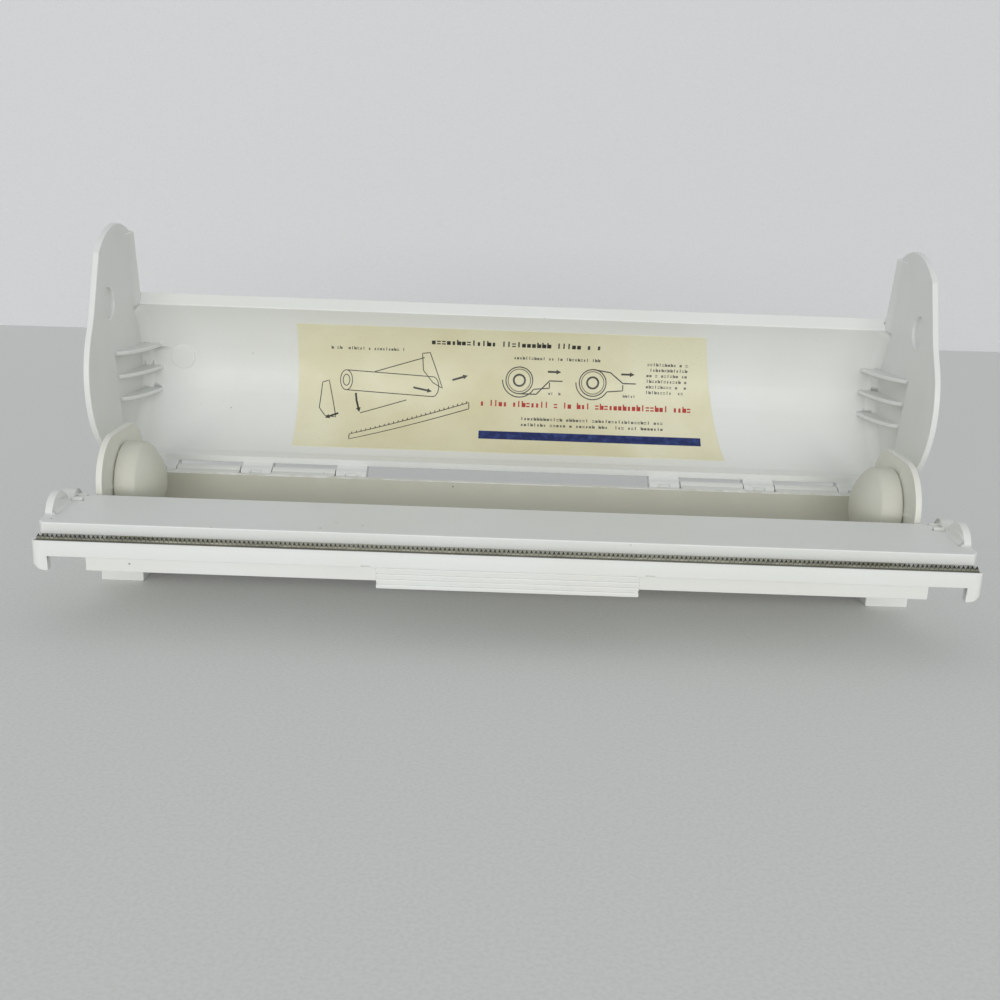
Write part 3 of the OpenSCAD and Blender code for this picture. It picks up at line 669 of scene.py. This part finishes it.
class InkSheet:
    def __init__(self, lift, step):
        self.shape, self.lift, self.step = bmesh.new(), lift * mm, step

    def face(self, points):
        self.shape.faces.new([self.shape.verts.new((x * mm, y * mm, self.lift)) for x, y in points])

    def stroke(self, points, width):
        dense = [Vector(points[0])]
        for a, b in zip(points, points[1:]):
            a, b = Vector(a), Vector(b)
            parts = max(1, math.ceil((b - a).length / self.step))
            dense += [a.lerp(b, (i + 1) / parts) for i in range(parts)]
        closed = len(dense) > 3 and (dense[0] - dense[-1]).length < strokeRule["joined"]
        sides = []
        for i, here in enumerate(dense):
            before = dense[i - 1] if i else (dense[-2] if closed else here)
            after = dense[i + 1] if i + 1 < len(dense) else (dense[1] if closed else here)
            run = (after - before).normalized()
            across = Vector((-run.y, run.x)) * width / 2
            sides.append((here + across, here - across))
        for (a, b), (c, d) in zip(sides, sides[1:]):
            self.face([b, d, c, a])

    def bar(self, x0, x1, y0, y1):
        self.stroke([((x0 + x1) / 2, y0), ((x0 + x1) / 2, y1)], x1 - x0)

    def ring(self, x, y, radius, width, start=0, end=360, narrow=1):
        count = max(strokeRule["ringParts"], int(abs(end - start) / strokeRule["ringStep"]))
        turn = [math.radians(start + (end - start) * i / count) for i in range(count + 1)]
        self.stroke([(x + narrow * radius * math.cos(t), y + radius * math.sin(t)) for t in turn], width)

    def arrow(self, points, width, head):
        self.stroke(points, width)
        tip, before = Vector(points[-1]), Vector(points[-2])
        run = (tip - before).normalized()
        side = Vector((-run.y, run.x)) * head * strokeRule["headShare"]
        self.face([tip - side, tip + run * head, tip + side])

    def mesh(self, name):
        made = bpy.data.meshes.new(name)
        self.shape.to_mesh(made)
        self.shape.free()
        return made


# lines of plain marks with gaps like those between words, each block with its fixed seed
wordSetup = dict(gapShare=0.14, markWidth=0.94, pickSeed=40.0)
# each mark is made of bars in shares of its cell: x, y, width, height
markBars = (
    ((0, -0.15, 0.8, 0.7),),
    ((-0.25, 0, 0.3, 1), (0.2, -0.15, 0.6, 0.7)),
    ((0, 0.1, 0.8, 0.22), (0, -0.36, 0.8, 0.22)),
    ((0, -0.15, 0.5, 0.7),),
    ((0, 0, 0.3, 1),),
)


def wordMark(tree, bars):
    mark = tree.nodes.new("GeometryNodeJoinGeometry")
    for x, y, width, height in bars:
        bar = put(tree, "GeometryNodeMeshGrid", {0: width, 1: height, 2: 2, 3: 2}).outputs[0]
        placed = put(tree, "GeometryNodeTransform", {"Geometry": bar, "Translation": (x, y, 0)}).outputs[0]
        tree.links.new(placed, mark.inputs[0])
    return mark.outputs[0]


def randomIn(tree, low, high, seed):
    return put(tree, "FunctionNodeRandomValue", {2: low, 3: high, "Seed": seed}, data_type="FLOAT").outputs[1]


def wordTree():
    tree, given = newTree("wordMarks", {"Lines": "Int", "Letters": "Int", "Width": "Float", "Drop": "Float",
                                        "Height": "Float", "Corner": "Vector", "Seed": "Int", "Paint": "Material"})
    pitch = math2(tree, "DIVIDE", given["Width"], given["Letters"])
    depth = math2(tree, "MULTIPLY", given["Drop"], math2(tree, "SUBTRACT", given["Lines"], 1.0))
    wide = math2(tree, "SUBTRACT", given["Width"], pitch)
    grid = put(tree, "GeometryNodeMeshGrid", {0: wide, 1: depth, 2: given["Letters"], 3: given["Lines"]})
    moved = put(tree, "GeometryNodeTransform", {"Geometry": grid.outputs[0], "Translation": given["Corner"]}).outputs[0]
    gaps = math2(tree, "LESS_THAN", randomIn(tree, 0.0, 1.0, given["Seed"]), wordSetup["gapShare"])
    letters = put(tree, "GeometryNodeDeleteGeometry", {0: moved, 1: gaps}, domain="POINT").outputs[0]
    marks = tree.nodes.new("GeometryNodeGeometryToInstance")
    for bars in markBars:
        tree.links.new(wordMark(tree, bars), marks.inputs[0])
    pick = randomIn(tree, 0.0, float(len(markBars)), math2(tree, "ADD", given["Seed"], wordSetup["pickSeed"]))
    wide = math2(tree, "MULTIPLY", pitch, wordSetup["markWidth"])
    size = put(tree, "ShaderNodeCombineXYZ", {0: wide, 1: given["Height"], 2: 1.0}).outputs[0]
    row = put(tree, "GeometryNodeInstanceOnPoints",
              {"Points": letters, "Instance": marks.outputs[0], "Pick Instance": True,
               "Instance Index": math2(tree, "FLOOR", pick), "Scale": size}).outputs[0]
    endTree(tree, row, given["Paint"])
    return tree


textBlocks = {
    "heading": dict(Lines=1, Letters=34, Width=78, Drop=3, Height=2.7, middle=(2, 24), Seed=5, ink="inkDark"),
    "leftCaption": dict(Lines=1, Letters=26, Width=34, Drop=2, Height=1.5, middle=(-66, 19.5), Seed=9, ink="inkGrey"),
    "rightCaption": dict(Lines=1, Letters=30, Width=40, Drop=2, Height=1.5, middle=(21, 17.5), Seed=2, ink="inkGrey"),
    "underCaption": dict(Lines=1, Letters=6, Width=7, Drop=2, Height=1.3, middle=(21, 1.4), Seed=7, ink="inkGrey"),
    "overCaption": dict(Lines=1, Letters=5, Width=6, Drop=2, Height=1.3, middle=(55, 1.4), Seed=8, ink="inkGrey"),
    "sideNote": dict(Lines=6, Letters=14, Width=19, Drop=2.6, Height=1.5, middle=(72, 10), Seed=6, ink="inkGrey"),
    "middleNote": dict(Lines=1, Letters=46, Width=98, Drop=3, Height=2.9, middle=(35, -4), Seed=12, ink="inkRed"),
    "lowNote": dict(Lines=2, Letters=44, Width=66, Drop=3, Height=1.6, middle=(38, -12.5), Seed=3, ink="inkGrey"),
}


def addWords(sheets, setup):
    words = wordTree()
    for name, block in textBlocks.items():
        carrier = newPiece(name, bpy.data.meshes.new(name))
        values = {key: block[key] for key in ("Lines", "Letters", "Seed")}
        values.update({key: block[key] * mm for key in ("Width", "Drop", "Height")})
        values["Corner"] = (block["middle"][0] * mm, block["middle"][1] * mm, setup["inkLift"] * mm)
        flat = runTree(carrier, words, {**values, "Paint": materials[block["ink"]]})
        sheets[block["ink"]].shape.from_mesh(flat)
        bpy.data.objects.remove(carrier)


# oblique view: a roll above an open tray with its lid's two ends, and arrows
arrowLine = dict(width=0.9, head=2.2)
rollPicture = dict(
    line=0.4, narrow=0.6, rolls=((-76, 4.4, 4.6), (-36, 2.6, 4.6)), core=0.55, teeth=26, toothLength=1,
    front=((-73, -22.5), (-19, -4.2)), frontDrop=3, back=((-69, -11), (-48, -4)), rim=((-63, 8.6), (-40, 16)),
    ends=(((-87, 3), (-88, -9), (-85, -13), (-80, -13.5), (-84, 4), (-87, 3)),
          ((-41, 18), (-40.5, 10), (-36, 4.5), (-31.5, 2), (-37.5, 18.5), (-41, 18))),
    arrows=(((-71.5, -1.5), (-71, -5), (-70, -8.5)), ((-45, 2), (-38.5, 0.8)), ((-27, 6), (-22, 7.6)),
            ((-79, -11.5), (-83, -13.2))),
)


def drawRollIntoTray(ink, setup):
    line, narrow = setup["line"], setup["narrow"]
    (x0, y0, r), (x1, y1, _) = setup["rolls"]
    for share in (1, setup["core"]):
        ink.ring(x0, y0, r * share, line, narrow=narrow)
    ink.ring(x1, y1, r, line, -90, 90, narrow)
    for side in (r, -r):
        ink.stroke([(x0, y0 + side), (x1, y1 + side)], line)
    a, b = (Vector(point) for point in setup["front"])
    drop = Vector((0, setup["frontDrop"]))
    ink.stroke([a, b, b - drop, a - drop, a], line)
    for i in range(setup["teeth"]):
        foot = a.lerp(b, (i + 0.5) / setup["teeth"])
        ink.stroke([foot, foot + Vector((0, setup["toothLength"]))], line)
    for points in (setup["back"], setup["rim"], *setup["ends"]):
        ink.stroke(points, line)
    for points in setup["arrows"]:
        ink.arrow(points, **arrowLine)


# end view: roll in a round tray with the sheet drawn off to the right, from the roll's middle
# a ring is its radius, line, start and end
sideView = dict(
    rings=((6.2, 0.5, 0, 360), (5.2, 0.35, 0, 360), (2.6, 0.9, 0, 360), (7.8, 0.5, 180, 330)),
    shelf=((6.8, -3.9), (14, -3.2), (14, -0.6)), shelfLine=0.5,
    sheetUnder=((0, -6.2), (8, -6.2), (14, 0.2), (20, 0.2)),
    sheetOver=((0, 6.2), (8, 5), (14, 0.2), (20, 0.2)), sheetLine=0.55,
    arrow=((13, 4.4), (17, 4.4)),
)


def drawSideView(ink, x, y, sheet):
    def placed(name):
        return [(x + along, y + up) for along, up in sideView[name]]

    for radius, line, start, end in sideView["rings"]:
        ink.ring(x, y, radius, line, start, end)
    ink.stroke(placed("shelf"), sideView["shelfLine"])
    ink.stroke(placed(sheet), sideView["sheetLine"])
    ink.arrow(placed("arrow"), **arrowLine)


# where the end views and the plain bar go
printSetup = dict(views=((4, 7, "sheetUnder"), (38, 7, "sheetOver")), bar=(-14, 88, -22.5, -18))


def makePrint(setup, layout):
    sheets = {name: InkSheet(setup["inkLift"], setup["inkStep"]) for name in inkFinish}
    drawRollIntoTray(sheets["inkDark"], rollPicture)
    for x, y, sheet in layout["views"]:
        drawSideView(sheets["inkDark"], x, y, sheet)
    sheets["inkBlue"].bar(*layout["bar"])
    addWords(sheets, setup)
    for name, sheet in sheets.items():
        piece = bend("label_print_" + name[3:].lower(), sheet.mesh(name), name, shellBend, setup)
        finishPiece(piece, "lid")
    print("label printed in", len(sheets), "inks")


makePrint(labelSetup, printSetup)
